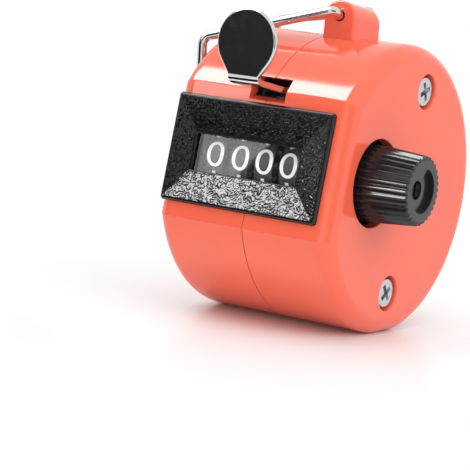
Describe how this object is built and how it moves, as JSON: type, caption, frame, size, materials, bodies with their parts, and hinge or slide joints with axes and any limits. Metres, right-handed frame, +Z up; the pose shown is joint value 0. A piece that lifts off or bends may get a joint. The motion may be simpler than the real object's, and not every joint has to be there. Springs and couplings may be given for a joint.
{
  "type": "hand tally counter",
  "caption": "Drum-shaped hand tally counter: thumb lever, digit wheels behind a window, fluted reset knob, finger ring and the mechanism inside.",
  "frame": {"origin": "on the resting flat under the drum's axis, at the middle of the drum's width", "axes": "+X along the drum's axis towards the reset knob, +Y away from the window, +Z up from the resting flat to the lug"},
  "size_m": [0.0429, 0.0469, 0.0493],
  "materials": {
    "red_case_plastic": "moulded red plastic, satin gloss",
    "black_bezel_plastic": "black plastic, glossy rim and grained slopes",
    "clear_lens_plastic": "clear plastic pane",
    "black_knob_plastic": "black fluted plastic",
    "black_wheel_plastic": "black plastic with printed white figures",
    "chromed_steel": "bright chrome plate",
    "plain_steel": "plain stamped steel",
    "spring_steel": "bright spring steel",
    "zinc_plated_screw": "zinc plate",
    "brass_bush": "turned brass",
    "white_gear_plastic": "white gear plastic"
  },
  "bodies": {
    "case": {"left_case_half": "red_case_plastic", "right_case_half": "red_case_plastic", "window_bezel": "black_bezel_plastic", "window_lens": "clear_lens_plastic", "mechanism_frame": "plain_steel", "left_bush": "brass_bush", "right_bush": "brass_bush", "pinion_shaft": "plain_steel", "pinion_shaft_clip": "spring_steel", "lever_pivot_pin": "plain_steel", "pivot_pin_clip": "spring_steel", "lever_return_spring": "spring_steel", "holding_pawl_pin": "plain_steel", "holding_pawl_spring": "spring_steel", "case_screw_upper": "zinc_plated_screw", "case_screw_lower": "zinc_plated_screw"},
    "reset_shaft": {"main_shaft": "plain_steel", "shaft_clip": "spring_steel", "reset_knob": "black_knob_plastic", "knob_screw": "zinc_plated_screw"},
    "lever": {"thumb_lever": "chromed_steel", "drive_pawl_pin": "plain_steel", "drive_pawl_spring": "spring_steel"},
    "drive_pawl": {"drive_pawl": "plain_steel"},
    "holding_pawl": {"holding_pawl": "plain_steel"},
    "finger_ring": {"finger_ring": "chromed_steel"},
    "thousands_wheel": {"thousands_wheel": "black_wheel_plastic"},
    "thousands_reset_pawl": {"thousands_reset_pawl": "plain_steel"},
    "hundreds_wheel": {"hundreds_wheel": "black_wheel_plastic"},
    "hundreds_reset_pawl": {"hundreds_reset_pawl": "plain_steel"},
    "tens_wheel": {"tens_wheel": "black_wheel_plastic"},
    "tens_reset_pawl": {"tens_reset_pawl": "plain_steel"},
    "units_wheel": {"units_wheel": "black_wheel_plastic", "ratchet_wheel": "plain_steel"},
    "units_reset_pawl": {"units_reset_pawl": "plain_steel"},
    "thousands_pinion": {"thousands_pinion": "white_gear_plastic"},
    "hundreds_pinion": {"hundreds_pinion": "white_gear_plastic"},
    "tens_pinion": {"tens_pinion": "white_gear_plastic"}
  },
  "joints": [
    {"name": "lever_press", "type": "hinge", "parent": "case", "child": "lever", "pos_m": [0, -0.0126, 0.035], "axis": [1, 0, 0], "range_deg": [0, 9], "stiffness_Nm_per_rad": 0.12, "springref_deg": -5.73, "deforming": ["lever_return_spring"]},
    {"name": "reset_turn", "type": "hinge", "parent": "case", "child": "reset_shaft", "pos_m": [0, -0.00904, 0.02338], "axis": [1, 0, 0], "continuous": true},
    {"name": "thousands_turn", "type": "hinge", "parent": "case", "child": "thousands_wheel", "pos_m": [0, -0.00904, 0.02338], "axis": [1, 0, 0], "continuous": true},
    {"name": "thousands_reset_pawl_tilt", "type": "hinge", "parent": "thousands_wheel", "child": "thousands_reset_pawl", "pos_m": [0, -0.00771, 0.02704], "axis": [1, 0, 0], "range_deg": [0, 6], "stiffness_Nm_per_rad": 0.0005, "springref_deg": -5.73},
    {"name": "hundreds_turn", "type": "hinge", "parent": "case", "child": "hundreds_wheel", "pos_m": [0, -0.00904, 0.02338], "axis": [1, 0, 0], "continuous": true},
    {"name": "hundreds_reset_pawl_tilt", "type": "hinge", "parent": "hundreds_wheel", "child": "hundreds_reset_pawl", "pos_m": [0, -0.00771, 0.02704], "axis": [1, 0, 0], "range_deg": [0, 6], "stiffness_Nm_per_rad": 0.0005, "springref_deg": -5.73},
    {"name": "tens_turn", "type": "hinge", "parent": "case", "child": "tens_wheel", "pos_m": [0, -0.00904, 0.02338], "axis": [1, 0, 0], "continuous": true},
    {"name": "tens_reset_pawl_tilt", "type": "hinge", "parent": "tens_wheel", "child": "tens_reset_pawl", "pos_m": [0, -0.00771, 0.02704], "axis": [1, 0, 0], "range_deg": [0, 6], "stiffness_Nm_per_rad": 0.0005, "springref_deg": -5.73},
    {"name": "units_turn", "type": "hinge", "parent": "case", "child": "units_wheel", "pos_m": [0, -0.00904, 0.02338], "axis": [1, 0, 0], "continuous": true},
    {"name": "units_reset_pawl_tilt", "type": "hinge", "parent": "units_wheel", "child": "units_reset_pawl", "pos_m": [0, -0.00771, 0.02704], "axis": [1, 0, 0], "range_deg": [0, 6], "stiffness_Nm_per_rad": 0.0005, "springref_deg": -5.73},
    {"name": "thousands_pinion_turn", "type": "hinge", "parent": "case", "child": "thousands_pinion", "pos_m": [0, -0.00064, 0.02338], "axis": [1, 0, 0], "continuous": true},
    {"name": "hundreds_pinion_turn", "type": "hinge", "parent": "case", "child": "hundreds_pinion", "pos_m": [0, -0.00064, 0.02338], "axis": [1, 0, 0], "continuous": true},
    {"name": "tens_pinion_turn", "type": "hinge", "parent": "case", "child": "tens_pinion", "pos_m": [0, -0.00064, 0.02338], "axis": [1, 0, 0], "continuous": true},
    {"name": "drive_pawl_tilt", "type": "hinge", "parent": "lever", "child": "drive_pawl", "pos_m": [0, -0.01108, 0.03003], "axis": [1, 0, 0], "range_deg": [0, 8], "stiffness_Nm_per_rad": 0.002, "springref_deg": -5.73, "deforming": ["drive_pawl_spring"]},
    {"name": "holding_pawl_tilt", "type": "hinge", "parent": "case", "child": "holding_pawl", "pos_m": [0, -0.00594, 0.01801], "axis": [1, 0, 0], "range_deg": [0, 8], "stiffness_Nm_per_rad": 0.002, "springref_deg": -5.73, "deforming": ["holding_pawl_spring"]},
    {"name": "ring_swing", "type": "hinge", "parent": "case", "child": "finger_ring", "pos_m": [0.00315, 0, 0.047], "axis": [0, 1, 0], "range_deg": [0, 200]}
  ],
  "couplings": [
    {"joint": "thousands_pinion_turn", "follows": "thousands_turn", "ratio": -2.5},
    {"joint": "hundreds_pinion_turn", "follows": "hundreds_turn", "ratio": -2.5},
    {"joint": "tens_pinion_turn", "follows": "tens_turn", "ratio": -2.5}
  ]
}
